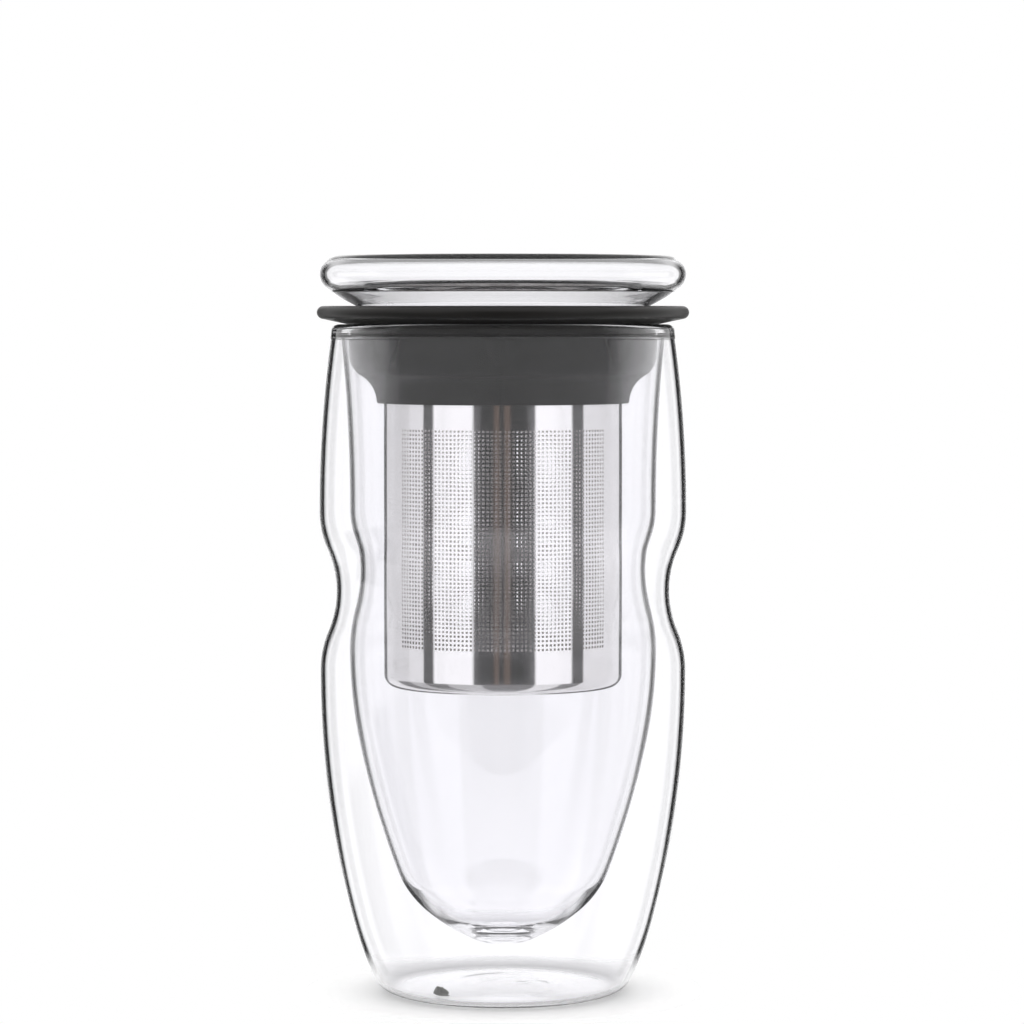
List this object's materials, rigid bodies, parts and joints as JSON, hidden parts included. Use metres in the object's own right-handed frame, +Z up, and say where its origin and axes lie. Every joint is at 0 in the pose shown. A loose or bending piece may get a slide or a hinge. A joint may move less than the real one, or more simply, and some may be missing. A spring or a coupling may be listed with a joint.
{
  "type": "tea tumbler",
  "caption": "Double-wall glass tea tumbler with a waist, a lift-out steel infuser basket in a fluted black silicone collar, and a glass lid that lifts off.",
  "frame": {"origin": "middle of the foot ring, on the surface the tumbler stands on", "axes": "+Z up along the tumbler's axis, -Y towards the front, where the collar's middle flute and the basket's widest perforated panel face, +X to the right"},
  "size_m": [0.0866, 0.0866, 0.1729],
  "materials": {
    "clear_glass": "clear blown borosilicate glass",
    "black_silicone": "satin black silicone",
    "plug_silicone": "grey silicone",
    "polished_steel": "mirror-polished stainless steel sheet"
  },
  "bodies": {
    "tumbler": {"outer_glass": "clear_glass", "inner_glass": "clear_glass", "vent_plug": "plug_silicone"},
    "infuser": {"silicone_collar": "black_silicone", "basket_wall": "polished_steel", "basket_base": "polished_steel"},
    "lid": {"lid_glass": "clear_glass"}
  },
  "joints": [
    {"name": "infuser_lift", "type": "slide", "parent": "tumbler", "child": "infuser", "axis": [0, 0, 1], "range_m": [0, 0.1]},
    {"name": "lid_lift", "type": "slide", "parent": "infuser", "child": "lid", "axis": [0, 0, 1], "range_m": [0, 0.03]}
  ]
}
